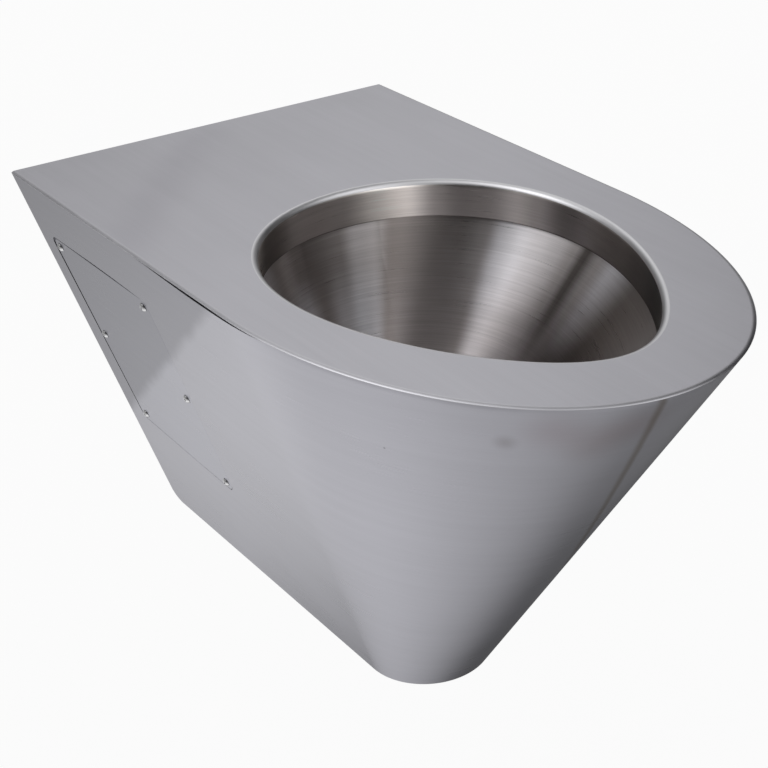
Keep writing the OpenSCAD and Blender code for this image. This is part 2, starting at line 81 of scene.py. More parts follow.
# Point of the casing at a height: turn 0 is the right side, -pi/2 the nose, -pi the left side
def casingPoint(turn, height, inset=0.0):
    top = ellipsePoint(pan["deckWidth"] / 2, pan["deckDepth"] - pan["sideLength"], turn)
    top.y -= pan["sideLength"]
    low = ellipsePoint(pan["baseWidth"] / 2, pan["baseNose"], turn)
    low.y -= pan["baseDepth"] - pan["baseNose"]
    out = Vector((math.cos(turn), math.sin(turn)))
    lean = out.dot(low - top) / pan["casingHeight"]
    at = top.lerp(low, (pan["deckTop"] - height) / pan["casingHeight"])
    at -= out * inset * math.hypot(1, lean)
    return Vector((at.x, at.y, height))


# Half width of the opening at the angle t, which is 0 at the wall side
def eggHalf(t):
    c = math.cos(t)
    return opening["width"] / 2 * (1 + opening["fullShare"] * c - opening["drawnShare"] * c * c)


def eggNormal(t):
    c, s = math.cos(t), math.sin(t)
    bend = opening["fullShare"] * s - 2 * opening["drawnShare"] * c * s
    dx = eggHalf(t) * c - opening["width"] / 2 * s * bend
    return Vector((opening["length"] / 2 * s, dx)).normalized()


def eggPoint(t, height, outward=0.0):
    y = opening["length"] / 2 * (math.cos(t) - 1) - opening["fromWall"]
    at = Vector((eggHalf(t) * math.sin(t), y)) + eggNormal(t) * outward
    return Vector((at.x, at.y, height))


# Point of the bowl's inner face, a straight line down from the rim to the round throat
def bowlPoint(t, height):
    rim = eggPoint(t, slitZ, pan["sheet"] + opening["slit"])
    n = eggNormal(t) * opening["throatRadius"]
    foot = Vector((n.x, n.y - opening["throatFromWall"], bowlZ))
    return rim.lerp(foot, (slitZ - height) / (slitZ - bowlZ))


# Point of a side sheet: forward from the wall, up the slope from the deck, out of the sheet
def sidePoint(side, forward, up, out=0.0):
    c, s = math.cos(sideTilt), math.sin(sideTilt)
    x = pan["deckWidth"] / 2 + up * s + out * c
    return Vector((side * x, -forward, pan["deckTop"] + up * c - out * s))


def sideNormal(side):
    return Vector((side * math.cos(sideTilt), 0, -math.sin(sideTilt)))


# Points of a circle round a place on a side sheet
def sideCircle(side, spot, radius, steps, out=0.0):
    turns = [2 * math.pi * k / steps for k in range(steps)]
    return [sidePoint(side, spot.x + radius * math.cos(a), spot.y + radius * math.sin(a), out)
            for a in turns]


# New closed ring of verts on the points
def ringOf(bm, points):
    ring = bmesh.ops.create_circle(bm, cap_ends=False, segments=len(points), radius=1)["verts"]
    for vert, point in zip(ring, points):
        vert.co = point
    return ring


# New open row of verts on the points
def rowOf(bm, points):
    row = [bm.verts.new(point) for point in points]
    for near, far in zip(row, row[1:]):
        bm.edges.new((near, far))
    return row


def rowEdges(bm, row, closed):
    pairs = list(zip(row, row[1:] + row[:1])) if closed else list(zip(row, row[1:]))
    return [bm.edges.get(pair) for pair in pairs]


# Extrudes a row and puts the new verts on the points
def pullRow(bm, row, points, closed):
    made = bmesh.ops.extrude_edge_only(bm, edges=rowEdges(bm, row, closed))["geom"]
    fresh = {g for g in made if isinstance(g, bmesh.types.BMVert)}
    pulled = []
    for vert, point in zip(row, points):
        twin = next(e.other_vert(vert) for e in vert.link_edges if e.other_vert(vert) in fresh)
        twin.co = point
        pulled.append(twin)
    return pulled


# Faces point away from the inner point, or towards it if the sheet is seen from inside
def faceAway(bm, face, inner, away=True):
    bmesh.ops.recalc_face_normals(bm, faces=bm.faces[:])
    outward = face.normal.dot(face.calc_center_median() - inner) > 0
    if outward != away:
        bmesh.ops.reverse_faces(bm, faces=bm.faces[:])


# Keeps on each vert which way the opening's sheet faces there, taken from the nearest known place
def tagAround(bm, places):
    tree = kdtree.KDTree(len(places))
    for k, (point, t) in enumerate(places):
        tree.insert(point, k)
    tree.balance()
    layer = bm.verts.layers.float_vector.new("around")
    for vert in bm.verts:
        normal = eggNormal(places[tree.find(vert.co)[1]][1])
        vert[layer] = (normal.x, normal.y, 0)


# Finished piece: smooth bends, sharp edges over the angle, weighted normals
def pieceFrom(bm, name, body, materials, nodes, sharpAngle=32):
    bm.normal_update()
    for face in bm.faces:
        face.smooth = True
    for edge in bm.edges:
        if len(edge.link_faces) == 2:
            edge.smooth = edge.calc_face_angle(0) < math.radians(sharpAngle)
    mesh = bpy.data.meshes.new(name)
    bm.to_mesh(mesh)
    bm.free()
    for material in materials:
        mesh.materials.append(material)
    piece = bpy.data.objects.new(name, mesh)
    scene.collection.objects.link(piece)
    weighted = piece.modifiers.new("weightedNormals", "WEIGHTED_NORMAL")
    weighted.keep_sharp = True
    weighted.weight = 100
    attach(piece, body)
    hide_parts(*nodes)
    print("made", name, len(mesh.polygons), "faces")
    return piece


# Materials

def newMaterial(name):
    material = bpy.data.materials.new(name)
    material.use_nodes = True
    material.node_tree.nodes.clear()
    return material


# New node with its settings; an input is either a value or the socket that feeds it
def addNode(tree, kind, at, inputs=None, **settings):
    node = tree.nodes.new(kind)
    node.location = at
    for key, value in settings.items():
        setattr(node, key, value)
    for key, value in (inputs or {}).items():
        if isinstance(value, bpy.types.NodeSocket):
            tree.links.new(value, node.inputs[key])
        else:
            node.inputs[key].default_value = value
    return node


# Noise on the object's own coordinates, stretched along the brushing
def grainNoise(tree, coords, stretch, detail, at):
    mapping = addNode(tree, "ShaderNodeMapping", at, {"Vector": coords, "Scale": stretch})
    noise = addNode(tree, "ShaderNodeTexNoise", (at[0] + 180, at[1]), {
        "Vector": mapping.outputs["Vector"],
        "Scale": 1.0,
        "Detail": detail,
        "Roughness": 0.6,
    })
    return noise.outputs["Fac"]


def rangeOf(tree, value, low, high, toLow, toHigh, at, smooth=False):
    ends = {"Value": value, "From Min": low, "From Max": high, "To Min": toLow, "To Max": toHigh}
    shape = "SMOOTHSTEP" if smooth else "LINEAR"
    return addNode(tree, "ShaderNodeMapRange", at, ends, interpolation_type=shape).outputs["Result"]


# Smooth step from 0 at one value to 1 at another
def fadeOf(tree, value, start, end, at):
    return rangeOf(tree, value, start, end, 0.0, 1.0, at, smooth=True)


def mathOf(tree, operation, a, b, at):
    return addNode(tree, "ShaderNodeMath", at, {0: a, 1: b}, operation=operation).outputs[0]


def dotOf(tree, vector, axis, at):
    node = addNode(tree, "ShaderNodeVectorMath", at, {0: vector, 1: axis}, operation="DOT_PRODUCT")
    return node.outputs["Value"]


def mixLevel(tree, factor, a, b, at):
    return addNode(tree, "ShaderNodeMix", at, {0: factor, 2: a, 3: b}, data_type="FLOAT").outputs[0]


def mixColour(tree, blend, factor, a, b, at):
    node = addNode(tree, "ShaderNodeMix", at, data_type="RGBA", blend_type=blend, clamp_factor=True)
    for key, value in ((0, factor), (6, a), (7, b)):
        if isinstance(value, bpy.types.NodeSocket):
            tree.links.new(value, node.inputs[key])
        else:
            node.inputs[key].default_value = value
    return node.outputs[2]


# Soft spot round a point of the surface, 1 in the middle and 0 at its radius
def spotMask(tree, coords, mark, at):
    mapping = addNode(tree, "ShaderNodeMapping", at, {
        "Vector": coords,
        "Location": [-c / s for c, s in zip(mark["at"], mark["size"])],
        "Scale": [1 / s for s in mark["size"]],
    })
    away = addNode(tree, "ShaderNodeVectorMath", (at[0] + 180, at[1]),
                   {0: mapping.outputs["Vector"]}, operation="LENGTH")
    return fadeOf(tree, away.outputs["Value"], 1.0, 0.0, (at[0] + 360, at[1]))


# Distance along a mark's slope, a little uneven
def slopeValue(tree, coords, mark, at):
    x, y = at
    uneven = grainNoise(tree, coords, mark["unevenGrain"], 2.0, (x - 400, y - 150))
    shift = rangeOf(tree, uneven, 0.0, 1.0, -mark["uneven"], mark["uneven"], (x, y - 150))
    value = mathOf(tree, "ADD", dotOf(tree, coords, mark["slope"], at), shift, (x + 180, y))
    return mathOf(tree, "ADD", value, mark["offset"], (x + 270, y - 80))


# Area past a soft line, on the left side of the pan only
def areaMask(tree, coords, mark, at):
    x, y = at
    value = slopeValue(tree, coords, mark, at)
    area = fadeOf(tree, value, mark["from"], mark["to"], (x + 360, y))
    across = dotOf(tree, coords, (1, 0, 0), (x, y - 300))
    left = fadeOf(tree, across, 0.0, mark["sideFade"], (x + 360, y - 300))
    return mathOf(tree, "MULTIPLY", area, left, (x + 540, y))


# Stripe along a soft line, which begins at a distance from the wall
def stripeMask(tree, coords, mark, at):
    x, y = at
    value = slopeValue(tree, coords, mark, at)
    near = fadeOf(tree, value, -mark["width"], 0.0, (x + 360, y))
    far = fadeOf(tree, value, mark["farWidth"], 0.0, (x + 360, y - 150))
    ahead = dotOf(tree, coords, (0, -1, 0), (x, y - 300))
    begun = fadeOf(tree, ahead, mark["fadeFrom"], mark["fadeTo"], (x + 360, y - 300))
    line = mathOf(tree, "MULTIPLY", near, far, (x + 540, y))
    return mathOf(tree, "MULTIPLY", line, begun, (x + 720, y))


markMasks = {"spot": spotMask, "area": areaMask, "stripe": stripeMask}


# Ramp of painted reflections round the opening: degrees from the far side and level, warmer where it is
# darker
def paintedReflectionRamp(tree, look, paintedReflections, share, at):
    ramp = addNode(tree, "ShaderNodeValToRGB", at, {"Fac": share})
    ramp.color_ramp.interpolation = "EASE"
    stops = ramp.color_ramp.elements
    (greenLow, greenRise), (blueLow, blueRise) = look["paintedReflectionTint"]
    for k, (degrees, level) in enumerate(paintedReflections):
        stop = stops[k] if k < 2 else stops.new(1.0)
        stop.position = degrees / 360 + 0.5
        green = level * (greenLow + greenRise * level)
        blue = level * (blueLow + blueRise * level)
        stop.color = (level, green, blue, 1)
    return ramp.outputs["Color"]


# Painted reflections: light and dark streaks down the bowl and collar, by the way that the sheet faces,
# changing a little with the height
def paintedReflectionLevel(tree, coords, look, at):
    x, y = at
    turn = math.radians(look["paintedReflectionsFrom"])
    around = addNode(tree, "ShaderNodeAttribute", at, attribute_name="around", attribute_type="GEOMETRY")
    facing = around.outputs["Vector"]
    aside = dotOf(tree, facing, (math.cos(turn), -math.sin(turn), 0), (x + 180, y))
    ahead = dotOf(tree, facing, (math.sin(turn), math.cos(turn), 0), (x + 180, y - 160))
    angle = mathOf(tree, "ARCTAN2", aside, ahead, (x + 360, y))
    share = rangeOf(tree, angle, -math.pi, math.pi, 0.0, 1.0, (x + 540, y))
    level = paintedReflectionRamp(tree, look, look["paintedReflections"], share, (x + 720, y))
    if "paintedReflectionsLow" in look:
        low = paintedReflectionRamp(tree, look, look["paintedReflectionsLow"], share, (x + 720, y + 260))
        parts = addNode(tree, "ShaderNodeSeparateXYZ", (x + 540, y + 500), {"Vector": coords})
        depth = fadeOf(tree, parts.outputs["Z"], *look["lowBetween"], (x + 720, y + 500))
        level = mixColour(tree, "MIX", depth, level, low, (x + 1000, y + 260))
    return level


# What all the brushed sheets share
brushing = {
    "noiseSpan": (0.25, 0.75),    # part of the noise's range that is used
    "roughFine": 0.03,
    "roughCloud": 0.02,
    "scratchDepth": 0.00002,
}


# Noise as values to either side of a middle one
def spreadOf(tree, noise, middle, depth, at):
    return rangeOf(tree, noise, *brushing["noiseSpan"], middle - depth, middle + depth, at)


# Brushed stainless sheet. grain is the stretch of the fine lines, small along them.
def brushedSteel(name, look):
    material = newMaterial(name)
    tree = material.node_tree
    coords = addNode(tree, "ShaderNodeTexCoord", (-1500, 0)).outputs["Object"]
    fine = grainNoise(tree, coords, look["grain"], 3.0, (-1300, 200))
    broad = grainNoise(tree, coords, look["band"], 2.0, (-1300, -50))
    cloud = grainNoise(tree, coords, look["cloud"], 2.0, (-1300, -300))
    fineShade = spreadOf(tree, fine, 1.0, look["fineDepth"], (-900, 200))
    bandShade = spreadOf(tree, broad, 0.0, look["bandDepth"], (-900, -50))
    cloudShade = spreadOf(tree, cloud, 0.0, look["cloudDepth"], (-900, -300))
    shade = mathOf(tree, "ADD", fineShade, bandShade, (-700, 100))
    shade = mathOf(tree, "ADD", shade, cloudShade, (-550, 50))
    colour = mixColour(tree, "MULTIPLY", 1.0, (*look["tone"], 1), shade, (-350, 100))
    # painted reflections: colour lighter or darker by the way the sheet faces
    if "paintedReflections" in look:
        level = paintedReflectionLevel(tree, coords, look, (-1300, 600))
        colour = mixColour(tree, "MULTIPLY", 1.0, colour, level, (-150, 400))
    for k, mark in enumerate(look.get("marks", [])):
        row = -700 - 500 * k
        mask = markMasks[mark["kind"]](tree, coords, mark, (-1300, row))
        strength = mathOf(tree, "MULTIPLY", mask, mark["strength"], (-500, row))
        colour = mixColour(tree, "MULTIPLY", strength, colour, (*mark["tint"], 1), (-350, row))
    fineRough = spreadOf(tree, fine, look["rough"], brushing["roughFine"], (-350, -100))
    cloudRough = spreadOf(tree, cloud, 0.0, brushing["roughCloud"], (-350, -350))
    rough = mathOf(tree, "ADD", fineRough, cloudRough, (-150, -150))
    bump = addNode(tree, "ShaderNodeBump", (-150, -350),
                   {"Height": fine, "Strength": look["bump"], "Distance": brushing["scratchDepth"]})
    across = addNode(tree, "ShaderNodeCombineXYZ", (-150, -550), dict(zip("XYZ", look["across"])))
    shader = addNode(tree, "ShaderNodeBsdfPrincipled", (100, 0), {
        "Base Color": colour,
        "Metallic": 1.0,
        "Roughness": rough,
        "Anisotropic": look["anisotropy"],
        "Normal": bump.outputs["Normal"],
        "Tangent": across.outputs["Vector"],
    })
    addNode(tree, "ShaderNodeOutputMaterial", (400, 0), {"Surface": shader.outputs["BSDF"]})
    return material


# Steel that shows no clear brushing: pipes, plates and fasteners; and the pads' rubber
def plainFinish(name, look):
    material = newMaterial(name)
    tree = material.node_tree
    coords = addNode(tree, "ShaderNodeTexCoord", (-1300, 0)).outputs["Object"]
    grain = grainNoise(tree, coords, look["grain"], 4.0, (-1100, 200))
    stain = grainNoise(tree, coords, look["stain"], 3.0, (-1100, -50))
    grainShade = rangeOf(tree, grain, 0.3, 0.7, 1 - look["grainDepth"], 1.0, (-700, 200))
    stainShade = rangeOf(tree, stain, 0.35, 0.65, 1 - look["stainDepth"], 1.0, (-700, -50))
    shade = mathOf(tree, "MULTIPLY", grainShade, stainShade, (-500, 100))
    colour = mixColour(tree, "MULTIPLY", 1.0, (*look["tone"], 1), shade, (-300, 100))
    rough = rangeOf(tree, stain, 0.3, 0.7, look["rough"] - 0.05, look["rough"] + 0.06, (-300, -100))
    bump = addNode(tree, "ShaderNodeBump", (-300, -300),
                   {"Height": grain, "Strength": look["bump"], "Distance": 0.00005})
    shader = addNode(tree, "ShaderNodeBsdfPrincipled", (0, 0), {
        "Base Color": colour,
        "Metallic": look["metallic"],
        "Roughness": rough,
        "Normal": bump.outputs["Normal"],
    })
    addNode(tree, "ShaderNodeOutputMaterial", (300, 0), {"Surface": shader.outputs["BSDF"]})
    return material


# Marks on the sheets. A slope is the direction that the distance to a mark's line is taken along.
paintedRearShade = {                 # painted shade: darker rear of the left side, where a dark reflection falls
    "kind": "area", "slope": (0, 0.635, 0.772), "offset": 0.0,
    "from": -0.132, "to": -0.120, "sideFade": -0.02,
    "uneven": 0.004, "unevenGrain": (0, 28, 28),
    "tint": (0.66, 0.66, 0.67), "strength": 1.0,
}
heatTint = {                  # straw-coloured line down the nose
    "kind": "stripe", "slope": (0.974, 0, 0.224), "offset": 0.0058,
    "width": 0.006, "farWidth": 0.0045, "fadeFrom": 0.40, "fadeTo": 0.46,
    "uneven": 0.0008, "unevenGrain": (0, 0, 60),
    "tint": (0.60, 0.54, 0.47), "strength": 0.9,
}
slitLine = {                  # shade along the collar's foot
    "kind": "stripe", "slope": (0, 0, 1), "offset": -slitZ,
    "width": 0.001, "farWidth": 0.0011, "fadeFrom": 0.0, "fadeTo": 0.01,
    "uneven": 0.0003, "unevenGrain": (70, 70, 0),
    "tint": (0.28, 0.26, 0.25), "strength": 0.95,
}
deckStreak = {                # broad soft streak across the deck
    "kind": "stripe", "slope": (0.707, -0.707, 0), "offset": 0.004,
    "width": 0.028, "farWidth": 0.036, "fadeFrom": -0.01, "fadeTo": 0.03,
    "uneven": 0.008, "unevenGrain": (22, 22, 0),
    "tint": (0.92, 0.915, 0.925), "strength": 0.8,
}
# wiping marks on the nose: place, size, tint and strength
noseSpots = [
    ((-0.078, -0.517, 0.058), (0.030, 0.030, 0.030), (0.88, 0.83, 0.83), 0.8),
    ((-0.050, -0.525, 0.045), (0.034, 0.034, 0.034), (0.86, 0.81, 0.80), 0.9),
    ((-0.030, -0.538, 0.056), (0.032, 0.032, 0.028), (0.87, 0.82, 0.81), 0.9),
    ((-0.097, -0.494, 0.046), (0.011, 0.011, 0.011), (0.76, 0.74, 0.73), 0.8),
    ((-0.1337, -0.4225, 0.0202), (0.0011, 0.0011, 0.0011), (0.25, 0.24, 0.24), 0.9),
]
noseMarks = [{"kind": "spot", "at": at, "size": size, "tint": tint, "strength": strength}
             for at, size, tint, strength in noseSpots]

deckSteel = brushedSteel("deckSteel", {
    "tone": (0.462, 0.458, 0.492),
    "grain": (900, 18, 18), "fineDepth": 0.03,
    "band": (160, 6, 6), "bandDepth": 0.02,
    "cloud": (9, 6, 9), "cloudDepth": 0.05,
    "rough": 0.36, "anisotropy": 0.45, "across": (1, 0, 0), "bump": 0.25,
    "marks": [deckStreak],
})
edgeLook = {
    "tone": (0.47, 0.467, 0.495),
    "grain": (60, 60, 900), "fineDepth": 0.03,
    "band": (30, 30, 200), "bandDepth": 0.02,
    "cloud": (20, 20, 20), "cloudDepth": 0.03,
    "rough": 0.32, "anisotropy": 0.0, "across": (0, 0, 1), "bump": 0.2,
}
edgeSteel = brushedSteel("edgeSteel", edgeLook)
# lighter copy of the edge steel on the roll's upper faces, which are part of the deck sheet: painted
# highlight
rollPaintedHighlight = brushedSteel("rollPaintedHighlight", {**edgeLook, "tone": (0.60, 0.597, 0.615), "rough": 0.36})
collarSteel = brushedSteel("collarSteel", {
    "tone": (0.95, 0.91, 0.88),
    "grain": (18, 18, 1100), "fineDepth": 0.09,
    "band": (12, 12, 420), "bandDepth": 0.05,
    "cloud": (14, 14, 14), "cloudDepth": 0.05,
    "rough": 0.30, "anisotropy": 0.92, "across": (0, 0, 1), "bump": 0.2,
    # painted reflections round the collar
    "paintedReflectionsFrom": 37,
    "paintedReflectionTint": ((0.94, 0.05), (0.93, 0.05)),
    "paintedReflections": [
        (-180, 0.6), (-120, 0.8), (-90, 1.0), (-77, 0.31), (-50, 0.5), (-36, 0.52), (-24, 1.0),
        (-13, 0.97), (-2, 0.48), (7, 0.42), (14, 0.5), (25, 0.6), (36, 0.35), (47, 0.22),
        (60, 0.36), (70, 0.36), (78, 0.24), (90, 0.05), (120, 0.3), (180, 0.6),
    ],
    "marks": [slitLine],
})
bowlSteel = brushedSteel("bowlSteel", {
    "tone": (0.95, 0.91, 0.88),
    "grain": (14, 14, 1000), "fineDepth": 0.12,
    "band": (9, 9, 420), "bandDepth": 0.045,
    "cloud": (16, 16, 7), "cloudDepth": 0.06,
    "rough": 0.30, "anisotropy": 0.94, "across": (0, 0, 1), "bump": 0.2,
    # painted reflections round the bowl, with painted shade low on its right
    "paintedReflectionsFrom": 37,
    "paintedReflectionTint": ((0.91, 0.14), (0.86, 0.29)),
    "paintedReflections": [
        (-180, 0.85), (-115, 0.95), (-78, 0.9), (-67, 0.48), (-57, 0.21), (-44, 0.34), (-37, 0.35),
        (-31, 0.6), (-25, 0.56), (-17, 0.27), (-2, 0.27), (6, 0.33), (17, 0.46), (24, 0.8),
        (30, 0.78), (38, 0.66), (47, 0.64), (53, 0.48), (57, 0.13), (63, 0.56), (68, 0.95),
        (78, 0.3), (110, 0.4), (180, 0.85),
    ],
    "paintedReflectionsLow": [
        (-180, 0.85), (-115, 1.0), (-57, 1.0), (-48, 0.46), (-39, 0.8), (-31, 1.0), (-25, 0.95),
        (-18, 0.42), (-3, 0.27), (8, 0.28), (18, 0.27), (27, 0.52), (38, 0.45), (50, 0.46),
        (59, 0.18), (68, 0.13), (78, 0.09), (110, 0.4), (180, 0.85),
    ],
    "lowBetween": (slitZ - 0.02, slitZ - 0.09),    # heights where the lower painted reflections take over
})
sideSteel = brushedSteel("sideSteel", {
    "tone": (0.505, 0.502, 0.548),
    "grain": (18, 18, 1000), "fineDepth": 0.03,
    "band": (6, 6, 160), "bandDepth": 0.02,
    "cloud": (7, 7, 9), "cloudDepth": 0.04,
    "rough": 0.30, "anisotropy": 0.55, "across": (0, 0, 1), "bump": 0.25,
    "marks": [paintedRearShade, heatTint] + noseMarks,
})
panelSteel = brushedSteel("panelSteel", {
    "tone": (0.505, 0.505, 0.557),
    "grain": (18, 18, 1000), "fineDepth": 0.03,
    "band": (6, 6, 160), "bandDepth": 0.02,
    "cloud": (8, 8, 8), "cloudDepth": 0.03,
    "rough": 0.30, "anisotropy": 0.55, "across": (0, 0, 1), "bump": 0.08,
    # the same painted shade on the left panel, a little darker
    "marks": [{**paintedRearShade, "tint": (0.61, 0.61, 0.62)}],
})
screwSteel = plainFinish("screwSteel", {
    "tone": (0.85, 0.85, 0.86), "grain": (700, 700, 700), "grainDepth": 0.05,
    "stain": (90, 90, 90), "stainDepth": 0.08, "rough": 0.15, "bump": 0.05, "metallic": 1.0})
plateSteel = plainFinish("plateSteel", {
    "tone": (0.50, 0.50, 0.51), "grain": (260, 260, 260), "grainDepth": 0.08,
    "stain": (12, 12, 12), "stainDepth": 0.10, "rough": 0.42, "bump": 0.15, "metallic": 1.0})
pipeSteel = plainFinish("pipeSteel", {
    "tone": (0.54, 0.54, 0.55), "grain": (180, 180, 700), "grainDepth": 0.07,
    "stain": (20, 20, 20), "stainDepth": 0.10, "rough": 0.33, "bump": 0.12, "metallic": 1.0})
padRubber = plainFinish("padRubber", {
    "tone": (0.035, 0.035, 0.038), "grain": (900, 900, 900), "grainDepth": 0.25,
    "stain": (30, 30, 30), "stainDepth": 0.2, "rough": 0.75, "bump": 0.5, "metallic": 0.0})
print("materials made")


# Deck: top sheet with its bent edge, rolled opening edge and collar

deckLook = {
    "noseSteps": 108,
    "sideSteps": 30,
    "rearSteps": 18,
    "skirt": 0.0015,          # height of the edge down to the side sheet
    "rearSkirt": 0.005,
    "crownRadius": 0.0055,    # the sheet rounds over, then ends in a short upright edge
    "crownTurn": 36,
    "crownSegments": 6,
    "rollSegments": 8,
    "rollTopFrom": 0.35,      # the roll's faces that look up more than this take a lighter steel, a painted highlight
}


# Outer edge of the deck at a height, from the wall on the right round the nose to the left
def outlineRow(height, inset=0.0):
    steps = deckLook["noseSteps"]
    half = casingPoint(0, height, inset).x
    run = pan["sideLength"] / deckLook["sideSteps"]
    right = [Vector((half, -run * k, height)) for k in range(deckLook["sideSteps"])]
    nose = [casingPoint(-math.pi * k / steps, height, inset) for k in range(steps + 1)]
    left = [Vector((-p.x, p.y, p.z)) for p in reversed(right)]
    return right + nose + left


# The same closed along the wall, where the points crowd towards the corners
def outlineRing(height, inset=0.0):
    row = outlineRow(height, inset)
    start, end = row[-1], row[0]
    turns = [math.pi * k / deckLook["rearSteps"] for k in range(1, deckLook["rearSteps"])]
    return row + [start.lerp(end, 0.5 - 0.5 * math.cos(turn)) for turn in turns]


def makeDeck():
    top = pan["deckTop"]
    outline = outlineRing(top)
    middle = opening["fromWall"] + opening["length"] / 2
    angles = [math.atan2(p.x / opening["width"], (p.y + middle) / opening["length"]) for p in outline]
    bm = bmesh.new()
    collarFoot = ringOf(bm, [eggPoint(t, slitZ) for t in angles])
    collarTop = pullRow(bm, collarFoot, [eggPoint(t, top) for t in angles], True)
    collarFaces = bm.faces[:]
    radius = deckLook["crownRadius"]
    turn = math.radians(deckLook["crownTurn"])
    edge = pullRow(bm, collarTop, outlineRing(top, radius * math.sin(turn)), True)
    topFaces = [f for f in bm.faces if f not in collarFaces]
    for k in range(1, deckLook["crownSegments"] + 1):
        angle = turn * k / deckLook["crownSegments"]
        inset = radius * (math.sin(turn) - math.sin(angle))
        edge = pullRow(bm, edge, outlineRing(top - radius * (1 - math.cos(angle)), inset), True)
    foot = outlineRing(top - deckLook["skirt"])
    for point in foot[-deckLook["rearSteps"] + 1:]:
        point.z = top - deckLook["rearSkirt"]
    pullRow(bm, edge, foot, True)
    # materials: 0 the top, 1 the edge, 2 the collar, 3 the roll's upper faces, lighter for a painted
    # highlight
    for face in bm.faces:
        face.material_index = 1
    for face in topFaces:
        face.material_index = 0
    for face in collarFaces:
        face.material_index = 2
    faceAway(bm, topFaces[0], Vector((0, 0, baseZ)))
    rollEdges = rowEdges(bm, collarTop, True)
    rolled = bmesh.ops.bevel(bm, geom=rollEdges, offset=opening["rollRadius"], offset_type="OFFSET",
                             segments=deckLook["rollSegments"], profile=0.5, affect="EDGES",
                             clamp_overlap=False, material=-1)
    bm.normal_update()
    for face in rolled["faces"]:
        face.material_index = 3 if face.normal.z > deckLook["rollTopFrom"] else 2
    bmesh.ops.solidify(bm, geom=bm.faces[:], thickness=pan["sheet"])
    tagAround(bm, [(eggPoint(t, z), t) for t in angles for z in (top, slitZ)])
    return pieceFrom(bm, "deckSheet", "pan", [deckSteel, edgeSteel, collarSteel, rollPaintedHighlight],
                     ["deck"])


# Bowl: tapered sheet down to the throat, with the flushing slot at the back

bowlLook = {
    "rimSteps": 144,
    "levels": 14,
    "slotWidth": 0.072,
    "slotFoot": 0.058,        # height of the slot's lower edge
    "slotHeight": 0.014,
}


def makeBowl():
    steps = bowlLook["rimSteps"]
    underDeck = pan["deckTop"] - pan["sheet"]
    slotLow = bowlLook["slotFoot"]
    slotHigh = slotLow + bowlLook["slotHeight"]
    lower = [slitZ + (bowlZ - slitZ) * k / bowlLook["levels"] for k in range(bowlLook["levels"] + 1)]
    heights = [slotHigh, slotLow] + lower
    angles = [2 * math.pi * k / steps for k in range(steps)]
    bm = bmesh.new()
    row = ringOf(bm, [bowlPoint(t, underDeck) for t in angles])
    for height in heights:
        row = pullRow(bm, row, [bowlPoint(t, height) for t in angles], True)
    rearFrom = -opening["fromWall"] - opening["length"] / 8
    halfSlot = bowlLook["slotWidth"] / 2
    for side in (-1, 1):
        rear = [f for f in bm.faces if f.calc_center_median().y > rearFrom]
        cut = rear + [e for f in rear for e in f.edges] + [v for f in rear for v in f.verts]
        bmesh.ops.bisect_plane(bm, geom=list(dict.fromkeys(cut)), dist=1e-6,
                               plane_co=(side * halfSlot, 0, 0), plane_no=(1, 0, 0))
    slot = []
    for face in bm.faces:
        middle = face.calc_center_median()
        if abs(middle.x) < halfSlot and middle.y > rearFrom and slotLow < middle.z < slotHigh:
            slot.append(face)
    bmesh.ops.delete(bm, geom=slot, context="FACES")
    bmesh.ops.remove_doubles(bm, verts=bm.verts[:], dist=1e-6)
    bm.faces.ensure_lookup_table()
    faceAway(bm, bm.faces[0], Vector((0, -opening["throatFromWall"], bowlZ)), away=False)
    bmesh.ops.solidify(bm, geom=bm.faces[:], thickness=pan["sheet"])
    tagAround(bm, [(bowlPoint(t, z), t) for t in angles for z in [underDeck] + heights])
    return pieceFrom(bm, "bowlSheet", "pan", [bowlSteel], ["bowl"])


# Access panels and the holes they sit in

panelLook = {
    "rear": 0.024,
    "rearLean": 0.006,
    "front": 0.171,
    "top": 0.054,
    "foot": 0.251,
    "footDrop": 0.006,
    "cornerRadius": 0.009,
    "cornerSteps": 8,
    "thickness": 0.0012,
    # how far the hole's corners lie outside the panel's: forward and up the side
    "holeShift": {"rearTop": (-0.0030, 0.0007), "rearFoot": (-0.0012, -0.0003),
                  "frontFoot": (0.0003, -0.0003), "frontTop": (0.0003, 0.0003)},
    "topBow": 0.0012,         # the hole's top edge bows away from the panel
    "bowLean": 0.8,           # under 1 the bow leans to the front, and a higher shape is narrower
    "bowShape": 1.5,
    "bowSteps": 9,
    "edgeBreak": 0.0002,
    "screwRows": 3,
    "screwInset": 0.008,
    "holeRadius": 0.0023,
    "holeSteps": 20,
}


# Corners of the panel, or of the hole that it sits in, rounded with arcs: forward and up the side
def panelOutline(isHole=False):
    p = panelLook
    corners = {
        "rearTop": Vector((p["rear"], -p["top"])),
        "rearFoot": Vector((p["rear"] + p["rearLean"], -p["foot"])),
        "frontFoot": Vector((p["front"], -p["foot"] - p["footDrop"])),
        "frontTop": Vector((p["front"], -p["top"])),
    }
    if isHole:
        for name, shift in p["holeShift"].items():
            corners[name] += Vector(shift)
    corners = list(corners.values())
    radius = p["cornerRadius"]
    points = []
    for k, here in enumerate(corners):
        back = (corners[k - 1] - here).normalized()
        ahead = (corners[(k + 1) % 4] - here).normalized()
        half = back.angle(ahead) / 2
        centre = here + (back + ahead).normalized() * radius / math.sin(half)
        first = here + back * radius / math.tan(half) - centre
        last = here + ahead * radius / math.tan(half) - centre
        turn = math.atan2(first.x * last.y - first.y * last.x, first.dot(last))
        start = math.atan2(first.y, first.x)
        for step in range(p["cornerSteps"] + 1):
            angle = start + turn * step / p["cornerSteps"]
            points.append(centre + Vector((math.cos(angle), math.sin(angle))) * radius)
    if isHole:
        start, end = points[-1], points[0]
        for k in range(1, p["bowSteps"]):
            share = k / p["bowSteps"]
            bow = p["topBow"] * math.sin(math.pi * share ** p["bowLean"]) ** p["bowShape"]
            points.append(start.lerp(end, share) + Vector((0, bow)))
    return points


